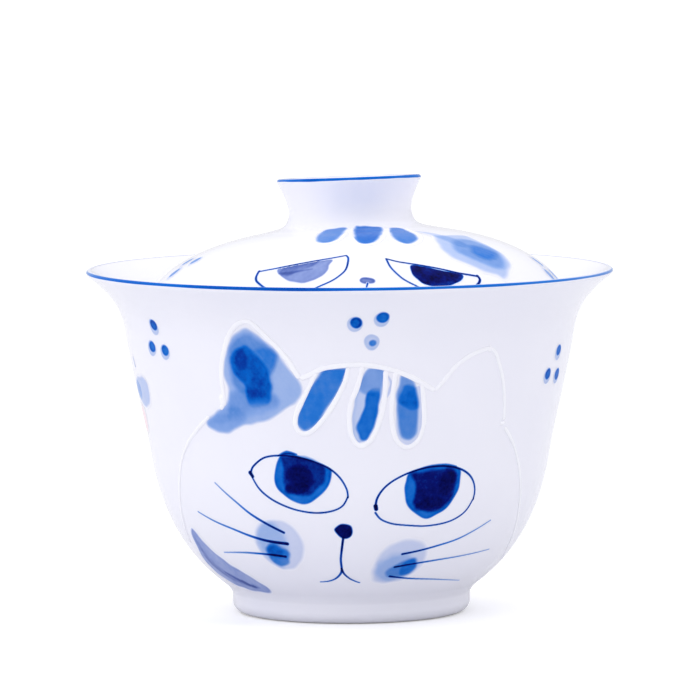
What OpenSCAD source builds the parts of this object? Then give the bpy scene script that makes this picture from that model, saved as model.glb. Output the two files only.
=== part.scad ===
// Gaiwan: a lidded porcelain tea bowl, with cobalt lines on its lips and white slip trailed on bowl and lid.
// Sizes are in millimetres. The origin is the middle of the foot's flat face, +Z is up,
// and the front of the decoration faces -Y.

/* [Bowl] */
// Diameter over the flared lip
rim_d = 100; // [84:1:130]
// Height from the foot's face to the top of the lip
bowl_h = 65.4; // [52:0.2:85]
// Outer diameter at the top of the rounded belly
belly_d = 76; // [62:0.5:84]
// Height of the top of the belly
belly_z = 31; // [24:0.5:38]
// Outer diameter where the lip starts to flare
waist_d = 85.6; // [80:0.2:92]
// Height of the flared lip
flare_h = 10.9; // [8:0.1:14]
// Angle at which the lip ends, up from level
lip_angle = 38; // [20:1:60]
// Wall thickness at the belly
wall = 2; // [1.4:0.1:3]
// Thickness of the rounded lip
lip_t = 1.2; // [0.8:0.1:2]
// Thickness of the bowl's floor
floor_t = 3; // [2:0.1:5]

/* [Foot ring] */
// Outer diameter of the foot ring
foot_d = 45.2; // [36:0.2:54]
// Height of the foot ring
foot_h = 4.6; // [3:0.1:8]
// Thickness of the foot ring
foot_t = 3.6; // [3.2:0.1:4.4]
// Rounding of the foot's outer lower edge
foot_round = 2.3; // [1:0.1:2.7]

/* [Lid] */
// Depth of the lid's edge below the top of the bowl
seat_depth = 8.6; // [5:0.1:11]
// Clearance between the lid's edge and the flared wall
lid_gap = 0.4; // [0.2:0.05:1]
// How far the seated lid has slid to the right, as a share of the clearance
lid_slide = 0.75; // [0:0.05:0.9]
// Height of the dome above the lid's edge
dome_h = 15.8; // [12:0.1:20]
// Thickness of the dome
lid_t = 1.9; // [1.4:0.1:2.6]
// Thickness of the lid's rounded edge
lid_edge_t = 1.4; // [0.9:0.1:1.8]
// How far the front of the seated lid rides up, in degrees
lid_lean_back = 2.6; // [0:0.1:4]
// How far the right of the seated lid rides up, in degrees
lid_lean_side = 1.8; // [0:0.1:4]

/* [Knob ring] */
// Diameter over the knob's flared lip
knob_d = 27.4; // [22:0.2:34]
// Height of the knob ring above its base on the dome
knob_h = 8; // [6:0.1:12]
// Outer diameter of the knob at its base
knob_base_d = 24; // [20:0.2:30]
// How far the neck is drawn in above the base, all round
knob_waist = 0.8; // [0:0.1:1.5]
// Wall thickness of the knob ring
knob_t = 1.8; // [1.2:0.1:2.6]
// Thickness of the knob's rounded lip
knob_lip_t = 1.2; // [0.8:0.1:1.6]
// Rise of the fillet between the dome and the knob
knob_fillet_h = 2.2; // [1:0.1:3]

/* [Decoration] */
// How far a painted lip line stands proud
line_t = 0.06; // [0.02:0.02:0.2]
// How far round the lip's edge a painted line reaches, in degrees
line_arc = 80; // [60:5:150]
// Direction that the middle of a painted line faces, up from level
line_facing = 50; // [0:5:60]
// Width of a raised slip line
slip_w = 1.1; // [0.8:0.1:1.6]
// Height of a raised slip line above the glaze
slip_h = 0.35; // [0.2:0.05:0.6]

/* [Hidden] */

porcelain = "GhostWhite";
cobalt = "RoyalBlue";
slip = "White";

turn_fn = 120;      // facets of a full turn
curve_n = 10;       // steps along one curve
cap_n = 8;          // steps round a lip
sink = 0.25;        // how deep a line or ridge is set into what carries it
stroke_n = 3;       // steps between two points of a slip line
foot_edge = 0.5;    // rounding of the foot's inner lower edge
layout_h = 65.4;    // height of bowl that the slip lines on it are laid out for

// Point of a cubic curve, and the curve as a list without its first point
function cubic(a, b, c, d, t) =
    pow(1 - t, 3) * a + 3 * t * pow(1 - t, 2) * b + 3 * t * t * (1 - t) * c + pow(t, 3) * d;
function curve(a, b, c, d, n = curve_n) = [for (i = [1:n]) cubic(a, b, c, d, i / n)];
function between(a, b, k) = [a.x + (b.x - a.x) * k.x, a.y + (b.y - a.y) * k.y];
function arc(c, r, from, to, n = cap_n) = [for (i = [0:n]) c + r * dir(from + (to - from) * i / n)];
function dir(angle) = [cos(angle), sin(angle)];
function unit(v) = v / norm(v);
function reversed(list) = [for (i = [len(list) - 1:-1:0]) list[i]];

// Direction along a polyline at point i, and the polyline moved to its left by t[i]
function along(p, i) = unit(p[min(i + 1, len(p) - 1)] - p[max(i - 1, 0)]);
function moved_left(p, t) = [for (i = [0:len(p) - 1]) p[i] + t[i] * [-along(p, i).y, along(p, i).x]];

// Radius of a profile (radius, height) at a height; heights rise along the list
function radius_at(p, z) = lookup(z, [for (q = p) [q.y, q.x]]);

// Bowl profile: belly, wall and flare outside, the same curve moved in by the wall inside
foot_top = [foot_d / 2, foot_h];
belly_top = [belly_d / 2, belly_z];
waist = [waist_d / 2, bowl_h - flare_h];
lip_c = [rim_d / 2 - lip_t / 2, bowl_h - lip_t / 2];
lip_end = lip_c + lip_t / 2 * dir(lip_angle - 90);
belly_curve = curve(foot_top, between(foot_top, belly_top, [0.5, 0.2]),
                    between(foot_top, belly_top, [0.864, 0.485]), belly_top);
wall_curve = curve(belly_top, between(belly_top, waist, [0.29, 0.32]),
                   between(belly_top, waist, [0.75, 0.66]), waist);
flare_curve = curve(waist, between(waist, lip_end, [0.125, 0.45]),
                    lip_end - 0.43 * flare_h * dir(lip_angle), lip_end);
bowl_outside = concat([foot_top], belly_curve, wall_curve, flare_curve);
upper_outside = concat([belly_top], wall_curve, flare_curve);
upper_inside = moved_left(upper_outside, [for (p = upper_outside)
    wall + (lip_t - wall) * (p.y - belly_z) / (lip_end.y - belly_z)]);
floor_z = foot_h + floor_t;
floor_curve = curve([0, floor_z], [0.75 * upper_inside[0].x, floor_z],
                    between([0, floor_z], upper_inside[0], [0.958, 0.27]), upper_inside[0]);
lip_cap = arc(lip_c, lip_t / 2, lip_angle - 90, lip_angle + 90);

// Lid seat: the lid's edge is as wide as the flare lets it, level or leaning
seat_z = bowl_h - seat_depth;
lean = acos(cos(lid_lean_back) * cos(lid_lean_side));
edge_r = radius_at(upper_inside, seat_z) - lid_gap;
edge_rise = edge_r * sin(lean);
seat_shift = (radius_at(upper_inside, seat_z + edge_rise) - radius_at(upper_inside, seat_z - edge_rise)) / 2;
high_side = lean > 0 ? unit([sin(lid_lean_side), -sin(lid_lean_back)]) : [0, 0];

// Lid profile in the lid's own frame, whose height is 0 at the edge
edge_angle = -70;
knob_z = dome_h + knob_fillet_h;
edge_c = [edge_r - lid_edge_t / 2, lid_edge_t / 2];
edge_end = edge_c + lid_edge_t / 2 * dir(edge_angle + 90);
crown = [knob_base_d / 2 + 5, dome_h];
dome_curve = curve(crown, between(crown, edge_end, [0.71, 0.18]), between(crown, edge_end, [0.93, 0.69]), edge_end);
dome_outside = concat([crown], dome_curve);
dome_inside = moved_left(dome_outside, [for (i = [0:curve_n]) -(lid_t + (lid_edge_t - lid_t) * i / curve_n)]);
knob_foot = [knob_base_d / 2, knob_z];
fillet_curve = curve(knob_foot, knob_foot - [-0.6, 0.75 * knob_fillet_h],
                     between(knob_foot, crown, [0.5, 0.7]), crown, 6);
ceiling = [0, dome_inside[0].y + 1.3];
ceiling_curve = curve(dome_inside[0], between(dome_inside[0], ceiling, [0.35, 0.7]),
                      between(dome_inside[0], ceiling, [0.6, 1]), ceiling, 6);
edge_cap = arc(edge_c, lid_edge_t / 2, edge_angle + 90, edge_angle - 90);

// Knob ring profile, in the lid's frame
knob_angle = 62;
knob_c = [knob_d / 2 - knob_lip_t / 2, knob_z + knob_h - knob_lip_t / 2];
knob_end = knob_c + knob_lip_t / 2 * dir(knob_angle - 90);
knob_outside = concat([knob_foot], curve(knob_foot, knob_foot + [-knob_waist, 0.25 * knob_h],
                      knob_end - 0.4 * knob_h * dir(knob_angle), knob_end));
knob_inside = moved_left(knob_outside, [for (i = [0:curve_n]) knob_t + (knob_lip_t - knob_t) * i / curve_n]);
knob_floor = [knob_foot.x - knob_t, knob_z];
knob_cap = arc(knob_c, knob_lip_t / 2, knob_angle - 90, knob_angle + 90);

// Slip lines on the bowl: points are [degrees round from the front, height on a bowl of layout_h]
bowl_strokes = [
    // left cheek, from the chin up to the ear
    [[-72, 13], [-66.5, 18], [-62, 24], [-58, 29], [-54, 33], [-48, 36.7], [-41.5, 40], [-37, 41.5]],
    // left ear
    [[-35, 42], [-34.7, 49], [-32, 55], [-28.3, 57.9], [-24.8, 58.5], [-20.5, 55.3], [-16.5, 52], [-13, 48]],
    // top of the head between the ears
    [[-13, 48], [-8, 49.7], [-2, 50.5], [5, 50.5], [12, 49.3], [18, 47.2], [22.5, 45.3]],
    // right ear
    [[22.5, 45.3], [27, 49.3], [32, 52], [37, 52.8], [40, 51.5], [43.5, 46], [46, 40], [46.3, 37.5]],
    // right cheek, from the ear down to the chin
    [[46.3, 37.5], [51, 34.8], [55, 31.5], [58.5, 27], [61.5, 22.5], [65, 18], [70, 13.5], [77, 10]],
    // outlines of the three stripes on the forehead
    [[-8, 49], [-11, 45.5], [-14.2, 41.5], [-14.3, 38.7], [-11.5, 37.7], [-7.5, 40], [-3, 44.5], [0, 49.5]],
    [[3.5, 49.7], [1, 45.5], [-0.4, 41], [0, 37], [2.8, 35.2], [6, 36.7], [8, 41], [9, 45], [9.2, 49.3]],
    [[12, 48.8], [11, 44.5], [10.8, 40], [12.3, 36.4], [15.5, 34.8], [18.8, 36], [20.2, 39.5], [18, 46.5]]];

// Slip lines on the lid: points are [right, front] of the lid's middle, seen from above
lid_strokes = [
    [[-3.2, 15.2], [-6, 17.8], [-8.3, 21], [-8, 23.3], [-6, 23.7], [-3.8, 22], [-1.5, 18.5], [0, 15.6]],
    [[1, 15.6], [0.6, 19], [0.5, 23], [1.5, 25.7], [3.4, 26.4], [5.2, 25.7], [6, 22.8], [6, 19], [5.8, 15.4]],
    [[7.3, 15], [7.4, 19], [7.5, 23], [8.7, 25.4], [10.6, 25.7], [12.4, 24.5], [13.2, 21], [12.6, 14]]];

// Smooth path through points (Catmull-Rom), with the ends held
function smooth(p, i, t) =
    let (a = p[max(i - 1, 0)], b = p[i], c = p[i + 1], d = p[min(i + 2, len(p) - 1)])
    0.5 * (2 * b + (c - a) * t + (2 * a - 5 * b + 4 * c - d) * t * t + (3 * b - a - 3 * c + d) * t * t * t);
function path(p) = concat([for (i = [0:len(p) - 2]) for (k = [0:stroke_n - 1]) smooth(p, i, k / stroke_n)],
                          [p[len(p) - 1]]);

// Point on the bowl and its outward direction; the same for the lid's dome
function bowl_point(q) = let (r = radius_at(bowl_outside, q.y)) [r * sin(q.x), -r * cos(q.x), q.y];
function on_height(q) = [q.x, q.y * bowl_h / layout_h];
function bowl_out(q) =
    let (slope = (radius_at(bowl_outside, q.y + 1) - radius_at(bowl_outside, q.y - 1)) / 2)
    unit([sin(q.x), -cos(q.x), -slope]);
function dome_z(r) = lookup(r, [for (q = dome_outside) [q.x, q.y]]);
function lid_point(q) = [q.x, -q.y, dome_z(norm(q))];
function lid_out(q) =
    let (r = norm(q), slope = (dome_z(r + 1) - dome_z(r - 1)) / 2)
    unit([-slope * q.x / r, slope * q.y / r, 1]);

// Cross-section of a slip line: [across, out]
slip_section = [[-slip_w / 2, -sink], [-0.42 * slip_w, 0.35 * slip_h], [-0.2 * slip_w, 0.9 * slip_h],
                [0.2 * slip_w, 0.9 * slip_h], [0.42 * slip_w, 0.35 * slip_h], [slip_w / 2, -sink]];

// Solid ridge along points that lie on a surface, given each point's outward direction
module ridge(points, outs) {
    n = len(points);
    k = len(slip_section);
    rings = [for (i = [0:n - 1])
        let (t = unit(points[min(i + 1, n - 1)] - points[max(i - 1, 0)]), side = unit(cross(t, outs[i])))
        for (s = slip_section) points[i] + s.x * side + s.y * outs[i]];
    sides = [for (i = [0:n - 2]) for (j = [0:k - 1])
        let (a = i * k + j, b = i * k + (j + 1) % k)
        [a, b, b + k, a + k]];
    first = [[for (j = [k - 1:-1:0]) j]];
    last = [[for (j = [0:k - 1]) (n - 1) * k + j]];
    polyhedron(rings, concat(sides, first, last), convexity = 6);
}

// Turned solid of a closed outline
module turned(outline) {
    rotate_extrude($fn = turn_fn) polygon(outline);
}

// Painted band round a lip, set a little into it
module lip_line(c, t) {
    turned(concat(arc(c, t / 2 + line_t, line_facing - line_arc / 2, line_facing + line_arc / 2),
                  arc(c, t / 2 - sink, line_facing + line_arc / 2, line_facing - line_arc / 2)));
}

// Places what is drawn in the lid's frame on the bowl's seat
module on_seat() {
    translate([seat_shift * high_side.x + lid_slide * lid_gap, seat_shift * high_side.y, seat_z])
        rotate([0, -lid_lean_side, 0]) rotate([-lid_lean_back, 0, 0]) children();
}

module bowl() {
    color(porcelain) turned(concat([[0, foot_h]], bowl_outside, lip_cap,
                                   reversed(upper_inside), reversed(floor_curve), [[0, floor_z]]));
}

module foot_ring() {
    outer = [foot_d / 2 - foot_round, foot_round];
    inner = [foot_d / 2 - foot_t + foot_edge, foot_edge];
    color(porcelain) turned(concat([[foot_d / 2, foot_h]], arc(outer, foot_round, 0, -90),
                                   arc(inner, foot_edge, -90, -180), [[foot_d / 2 - foot_t, foot_h]]));
}

module lid() {
    color(porcelain) on_seat() turned(concat([[0, knob_z], knob_foot], fillet_curve, dome_curve, edge_cap,
                                             reversed(dome_inside), ceiling_curve));
}

module knob_ring() {
    color(porcelain) on_seat() turned(concat(knob_outside, knob_cap, reversed(knob_inside), [knob_floor]));
}

module bowl_rim_line() {
    color(cobalt) lip_line(lip_c, lip_t);
}

module knob_rim_line() {
    color(cobalt) on_seat() lip_line(knob_c, knob_lip_t);
}

module bowl_slip_lines() {
    color(slip) for (s = bowl_strokes)
        ridge([for (q = path(s)) bowl_point(on_height(q))], [for (q = path(s)) bowl_out(on_height(q))]);
}

module lid_slip_lines() {
    color(slip) on_seat() for (s = lid_strokes)
        ridge([for (q = path(s)) lid_point(q)], [for (q = path(s)) lid_out(q)]);
}

bowl();
foot_ring();
lid();
knob_ring();
bowl_rim_line();
knob_rim_line();
bowl_slip_lines();
lid_slip_lines();
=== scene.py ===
"""Gaiwan: a lidded porcelain tea bowl with a hand-painted cobalt cat and raised white slip lines.

Lengths in this script are millimetres and angles are degrees, until a mesh is made in metres.
The bowl's front faces -Y. A place on the bowl is (degrees round from the front, height), and a
place on the lid is (right, back) of the lid's middle, in the lid's own frame.
"""
import math

import bpy
import numpy as np
from mathutils import Matrix, Vector


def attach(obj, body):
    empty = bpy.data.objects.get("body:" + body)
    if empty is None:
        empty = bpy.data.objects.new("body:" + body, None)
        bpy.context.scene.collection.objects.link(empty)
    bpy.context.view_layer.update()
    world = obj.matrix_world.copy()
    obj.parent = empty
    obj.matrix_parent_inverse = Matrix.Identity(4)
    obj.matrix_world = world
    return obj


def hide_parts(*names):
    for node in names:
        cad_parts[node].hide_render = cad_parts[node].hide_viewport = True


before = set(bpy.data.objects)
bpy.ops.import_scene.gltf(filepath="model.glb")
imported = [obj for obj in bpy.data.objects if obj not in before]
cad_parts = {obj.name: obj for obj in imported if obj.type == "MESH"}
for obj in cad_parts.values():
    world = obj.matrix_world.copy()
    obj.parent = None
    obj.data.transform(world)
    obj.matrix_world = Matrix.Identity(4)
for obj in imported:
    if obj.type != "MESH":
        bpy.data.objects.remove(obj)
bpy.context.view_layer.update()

MM = 0.001

# --- sizes, as in the CAD part
RIM_D, BOWL_H, BELLY_D, BELLY_Z, WAIST_D = 100.0, 65.4, 76.0, 31.0, 85.6
FLARE_H, LIP_ANGLE, WALL, LIP_T, FLOOR_T = 10.9, 38.0, 2.0, 1.2, 3.0
FOOT_D, FOOT_H, FOOT_T, FOOT_ROUND, FOOT_EDGE = 45.2, 4.6, 3.6, 2.3, 0.5
SEAT_DEPTH, LID_GAP, LID_SLIDE, DOME_H, LID_T, LID_EDGE_T = 8.6, 0.4, 0.75, 15.8, 1.9, 1.4
LEAN_BACK, LEAN_SIDE, EDGE_ANGLE = 2.6, 1.8, -70.0
KNOB_D, KNOB_H, KNOB_BASE_D, KNOB_WAIST = 27.4, 8.0, 24.0, 0.8
KNOB_T, KNOB_LIP_T, KNOB_FILLET_H, KNOB_ANGLE = 1.8, 1.2, 2.2, 62.0
LINE_T = 0.06

# Mesh fineness
TURN_N = 240          # steps round a turned piece
CURVE_N = 32          # steps along one curve of a profile
WASH_STEP = 0.14      # grid of a painted wash
FINE_STEP = 0.10      # grid of painted lines
FILM_LIFT = 0.02      # paint above the porcelain's surface
PIGMENT_LEAST = 0.006  # a film is trimmed where it has less
GLAZE_FILLET = 0.9    # rounding of the glaze where bowl meets foot
SLIP_W = 1.0          # usual width of a raised slip line
BOWL_SLIP_H, LID_SLIP_H = 0.24, 0.22

# Stage: places in metres, angles in degrees
CAMERA_AT, CAMERA_LENS = (0.0, -1.250, 0.15718), 339.52
CAMERA_PITCH, CAMERA_ROLL = 4.911, 0.332
SKY_LEVEL = 0.96      # light from every side, before the lobes
SKY_SEEN = 1.1        # the sky as the camera sees it
FLOOR_GLOW = 0.3      # added to the floor as the camera sees it
FLOOR_HALF, FLOOR_N = 6.0, 24

# How many degrees of the bowl's turn make about as long a step as one millimetre of height
MM_PER_DEGREE = 0.7


# --- outlines
def pt(x, y):
    return np.array([x, y], float)


def toward(angle):
    a = math.radians(angle)
    return pt(math.cos(a), math.sin(a))


def between(a, b, kx, ky):
    return pt(a[0] + (b[0] - a[0]) * kx, a[1] + (b[1] - a[1]) * ky)


def curve(a, b, c, d, n=CURVE_N):
    """A cubic curve without its first point."""
    t = np.linspace(0, 1, n + 1)[1:, None]
    return (1 - t) ** 3 * a + 3 * t * (1 - t) ** 2 * b + 3 * t * t * (1 - t) * c + t ** 3 * d


def arc(centre, radius, start, end, n=12):
    a = np.radians(np.linspace(start, end, n + 1))
    return centre + radius * np.stack([np.cos(a), np.sin(a)], 1)


def join(*parts):
    return np.vstack([np.atleast_2d(p) for p in parts])


def moved_left(line, distance):
    """The line moved to its left by a distance for each point."""
    d = np.gradient(line, axis=0)
    d = d / np.linalg.norm(d, axis=1, keepdims=True)
    return line + np.asarray(distance)[:, None] * np.stack([-d[:, 1], d[:, 0]], 1)


def smooth_path(points, closed=False, n=8):
    """A Catmull-Rom curve through the points."""
    p = np.array(points, float)
    last = len(p) if closed else len(p) - 1
    made = []
    for i in range(last):
        if closed:
            a, b, c, d = (p[(i + k) % len(p)] for k in (-1, 0, 1, 2))
        else:
            a, b, c, d = p[max(i - 1, 0)], p[i], p[i + 1], p[min(i + 2, len(p) - 1)]
        for t in np.arange(n) / n:
            made.append(0.5 * (2 * b + (c - a) * t + (2 * a - 5 * b + 4 * c - d) * t * t
                               + (3 * b - a - 3 * c + d) * t ** 3))
    if not closed:
        made.append(p[-1])
    return np.array(made)


def bowl_profile():
    """Outside from the foot up, the upper inside, the inside's floor, and the lip's centre and cap."""
    foot_top, belly_top = pt(FOOT_D / 2, FOOT_H), pt(BELLY_D / 2, BELLY_Z)
    waist = pt(WAIST_D / 2, BOWL_H - FLARE_H)
    lip_c = pt(RIM_D / 2 - LIP_T / 2, BOWL_H - LIP_T / 2)
    lip_end = lip_c + LIP_T / 2 * toward(LIP_ANGLE - 90)
    belly = curve(foot_top, between(foot_top, belly_top, 0.5, 0.2),
                  between(foot_top, belly_top, 0.864, 0.485), belly_top)
    wall = curve(belly_top, between(belly_top, waist, 0.29, 0.32),
                 between(belly_top, waist, 0.75, 0.66), waist)
    flare = curve(waist, between(waist, lip_end, 0.125, 0.45),
                  lip_end - 0.43 * FLARE_H * toward(LIP_ANGLE), lip_end)
    upper = join(belly_top, wall, flare)
    share = (upper[:, 1] - BELLY_Z) / (lip_end[1] - BELLY_Z)
    inside = moved_left(upper, WALL + (LIP_T - WALL) * share)
    floor_z = FOOT_H + FLOOR_T
    middle = pt(0, floor_z)
    floor = curve(middle, pt(0.75 * inside[0][0], floor_z),
                  between(middle, inside[0], 0.958, 0.27), inside[0])
    cap = arc(lip_c, LIP_T / 2, LIP_ANGLE - 90, LIP_ANGLE + 90)
    return {"outside": join(foot_top, belly, wall, flare), "inside": inside,
            "floor": join(middle, floor), "lip": lip_c, "cap": cap}


def lid_profile(inside):
    """Dome and knob in the lid's frame, and the matrix that seats the lid on the bowl."""
    def inside_radius(z):
        return float(np.interp(z, inside[:, 1], inside[:, 0]))

    seat_z = BOWL_H - SEAT_DEPTH
    back, side = math.radians(LEAN_BACK), math.radians(LEAN_SIDE)
    lean = math.acos(math.cos(back) * math.cos(side))
    edge_r = inside_radius(seat_z) - LID_GAP
    rise = edge_r * math.sin(lean)
    shift = (inside_radius(seat_z + rise) - inside_radius(seat_z - rise)) / 2
    high = Vector((math.sin(side), -math.sin(back))).normalized() * shift
    seat = (Matrix.Translation((high.x + LID_SLIDE * LID_GAP, high.y, seat_z))
            @ Matrix.Rotation(-side, 4, "Y") @ Matrix.Rotation(-back, 4, "X"))

    edge_c = pt(edge_r - LID_EDGE_T / 2, LID_EDGE_T / 2)
    edge_end = edge_c + LID_EDGE_T / 2 * toward(EDGE_ANGLE + 90)
    crown = pt(KNOB_BASE_D / 2 + 5, DOME_H)
    dome = join(crown, curve(crown, between(crown, edge_end, 0.71, 0.18),
                             between(crown, edge_end, 0.93, 0.69), edge_end))
    share = np.linspace(0, 1, len(dome))
    under = moved_left(dome, -(LID_T + (LID_EDGE_T - LID_T) * share))
    edge = arc(edge_c, LID_EDGE_T / 2, EDGE_ANGLE + 90, EDGE_ANGLE - 90)
    knob_foot = pt(KNOB_BASE_D / 2, DOME_H + KNOB_FILLET_H)
    fillet = curve(knob_foot, knob_foot - pt(-0.6, 0.75 * KNOB_FILLET_H),
                   between(knob_foot, crown, 0.5, 0.7), crown, 14)
    ceiling = pt(0, under[0][1] + 1.3)
    hollow = curve(under[0], between(under[0], ceiling, 0.35, 0.7),
                   between(under[0], ceiling, 0.6, 1), ceiling, 14)

    knob_c = pt(KNOB_D / 2 - KNOB_LIP_T / 2, knob_foot[1] + KNOB_H - KNOB_LIP_T / 2)
    knob_end = knob_c + KNOB_LIP_T / 2 * toward(KNOB_ANGLE - 90)
    knob = join(knob_foot, curve(knob_foot, knob_foot + pt(-KNOB_WAIST, 0.25 * KNOB_H),
                                 knob_end - 0.4 * KNOB_H * toward(KNOB_ANGLE), knob_end, 20))
    share = np.linspace(0, 1, len(knob))
    knob_inside = moved_left(knob, KNOB_T + (KNOB_LIP_T - KNOB_T) * share)
    cap = arc(knob_c, KNOB_LIP_T / 2, KNOB_ANGLE - 90, KNOB_ANGLE + 90)
    well = pt(knob_inside[0][0], knob_foot[1])
    return {"dome": dome, "under": under, "edge": edge, "fillet": fillet, "hollow": hollow, "knob": knob,
            "knob_inside": knob_inside, "cap": cap, "well": well, "lip": knob_c, "seat": seat}


# --- meshes
def new_object(name, data):
    ob = bpy.data.objects.new(name, data)
    bpy.context.scene.collection.objects.link(ob)
    return ob


def new_mesh(name, verts, faces, body, seat=None, normals=None, uvs=None):
    """A smooth mesh object from points in millimetres, riding on a CAD body."""
    mesh = bpy.data.meshes.new(name)
    mesh.from_pydata((verts * MM).tolist(), [], faces)
    if seat is not None:
        mesh.transform(Matrix.Translation(seat.translation * MM) @ seat.to_3x3().to_4x4())
    mesh.polygons.foreach_set("use_smooth", [True] * len(mesh.polygons))
    if uvs is not None:
        corner = np.empty(len(mesh.loops), np.int32)
        mesh.loops.foreach_get("vertex_index", corner)
        mesh.uv_layers.new(name="OFBake").data.foreach_set("uv", np.asarray(uvs, np.float32)[corner].ravel())
    if normals is not None:
        if seat is not None:
            normals = normals @ np.array(seat.to_3x3()).T
        mesh.normals_split_custom_set_from_vertices(normals.tolist())
    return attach(new_object(name, mesh), body)


def finish_piece(ob, slot, *materials):
    for material in materials:
        ob.data.materials.append(material)


def lay_pigment(ob, pigment, material):
    """Gives each point its amount of pigment, which sets the paint material's colour."""
    colour = ob.data.attributes.new("pigment", "FLOAT", "POINT")
    colour.data.foreach_set("value", pigment.astype(np.float32))
    finish_piece(ob, "cobalt_paint", material)


def grid_faces(rows, columns):
    """Quads over a grid of points."""
    i, j = np.meshgrid(np.arange(rows - 1), np.arange(columns - 1), indexing="ij")
    corner = (i * columns + j).ravel()
    return np.stack([corner, corner + columns, corner + columns + 1, corner + 1], 1)


def turned_faces(rows):
    """Quads between rows of TURN_N points, each row a full turn."""
    i, j = np.meshgrid(np.arange(rows - 1) * TURN_N, np.arange(TURN_N), indexing="ij")
    i, j = i.ravel(), j.ravel()
    k = (j + 1) % TURN_N
    return np.stack([i + j, i + k, i + TURN_N + k, i + TURN_N + j], 1).tolist()


def turned_points(outline):
    a = 2 * np.pi * np.arange(TURN_N) / TURN_N
    r, z = outline[:, 0, None], outline[:, 1, None]
    return np.stack([r * np.cos(a), r * np.sin(a), z + 0 * a], 2).reshape(-1, 3)


def turned(name, outline, body, seat=None):
    """A solid turned from an outline that starts and ends on the axis."""
    line = outline[1:-1]
    n, rows = TURN_N, len(line)
    verts = np.vstack([turned_points(line), [[0, 0, outline[0][1]], [0, 0, outline[-1][1]]]])
    low, high = rows * n, rows * n + 1
    fans = [[low, (j + 1) % n, j] for j in range(n)]
    fans += [[high, (rows - 1) * n + j, (rows - 1) * n + (j + 1) % n] for j in range(n)]
    return new_mesh(name, verts, turned_faces(rows) + fans, body, seat)


# --- painted surfaces
class BowlSkin:
    """The bowl's outside: (degrees round from the front, height) to a point and its outward direction."""

    body, seat, mm_per_u = "bowl", None, MM_PER_DEGREE

    def __init__(self, outside):
        self.z, self.r = outside[:, 1], outside[:, 0]
        self.slope = np.gradient(self.r, self.z)

    def at(self, uv):
        a = np.radians(uv[:, 0])
        r = np.interp(uv[:, 1], self.z, self.r)
        slope = np.interp(uv[:, 1], self.z, self.slope)
        point = np.stack([r * np.sin(a), -r * np.cos(a), uv[:, 1]], 1)
        out = np.stack([np.sin(a), -np.cos(a), -slope], 1)
        return point, out / np.linalg.norm(out, axis=1, keepdims=True)


class LidSkin:
    """The lid's dome: (right, back) of its middle to a point and its outward direction."""

    body, mm_per_u = "lid", 1.0

    def __init__(self, dome, seat):
        self.r, self.z, self.seat = dome[:, 0], dome[:, 1], seat
        self.slope = np.gradient(self.z, self.r)

    def at(self, uv):
        r = np.maximum(np.linalg.norm(uv, axis=1), 1e-6)
        z, slope = np.interp(r, self.r, self.z), np.interp(r, self.r, self.slope)
        point = np.stack([uv[:, 0], uv[:, 1], z], 1)
        out = np.stack([-slope * uv[:, 0] / r, -slope * uv[:, 1] / r, np.ones(len(r))], 1)
        return point, out / np.linalg.norm(out, axis=1, keepdims=True)


def step_up(x):
    x = np.clip(x, 0, 1)
    return x * x * (3 - 2 * x)


def grain(points, size, seed):
    """Smooth variation between about -1 and 1, with that feature size."""
    rng = np.random.RandomState(seed)
    total = np.zeros(len(points))
    for _ in range(9):
        d = rng.normal(size=3)
        d *= 2 * np.pi / (size * np.linalg.norm(d)) * rng.uniform(0.4, 1.0)
        total += np.sin(points @ d + rng.uniform(0, 6.28))
    return total / 4.2


def segment_distance(points, line, half_width):
    """For each point the nearest segment's distance less its half width, and how far along the line it is."""
    a, b = line[:-1], line[1:]
    d = b - a
    length = np.maximum((d * d).sum(1), 1e-12)
    best, along = np.full(len(points), 1e9), np.zeros(len(points))
    for k in range(len(a)):
        t = np.clip(((points - a[k]) @ d[k]) / length[k], 0, 1)
        gap = np.linalg.norm(points - a[k] - t[:, None] * d[k], axis=1)
        gap = gap - (half_width[k] + t * (half_width[k + 1] - half_width[k]))
        near = gap < best
        best[near], along[near] = gap[near], (k + t[near]) / len(a)
    return best, along


def inside_outline(uv, outline):
    inside = np.zeros(len(uv), bool)
    for a, b in zip(outline, np.roll(outline, -1, 0)):
        crosses = (a[1] > uv[:, 1]) != (b[1] > uv[:, 1])
        if a[1] != b[1]:
            inside ^= crosses & (uv[:, 0] < (b[0] - a[0]) * (uv[:, 1] - a[1]) / (b[1] - a[1]) + a[0])
    return inside


def faded(skin, uv, fade):
    """1 before the first point of fade and 0 past the second, along the line between them."""
    if fade is None:
        return 1.0
    scale = np.array([skin.mm_per_u, 1.0])
    a, b = np.array(fade[0]) * scale, np.array(fade[1]) * scale
    return 1 - step_up(((uv * scale - a) @ (b - a)) / ((b - a) @ (b - a)))


def area(outline, density, soft=0.35, edge=0.0, wobble=0.12, fade=None, seed=1):
    """A wash inside an outline. edge darkens the rim where the pigment settled."""
    def layer(skin, uv, points):
        line = smooth_path(outline, closed=True)
        ring, _ = skin.at(np.vstack([line, line[:1]]))
        gap, _ = segment_distance(points, ring, np.zeros(len(ring)))
        gap = np.where(inside_outline(uv, line), gap, -gap) + wobble * grain(points, 2.2, seed)
        mask = step_up(gap / soft + 0.5)
        settled = edge * np.exp(-((gap - 0.25) / 0.3) ** 2) * mask
        return (density * mask + settled) * faded(skin, uv, fade)
    return layer


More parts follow.
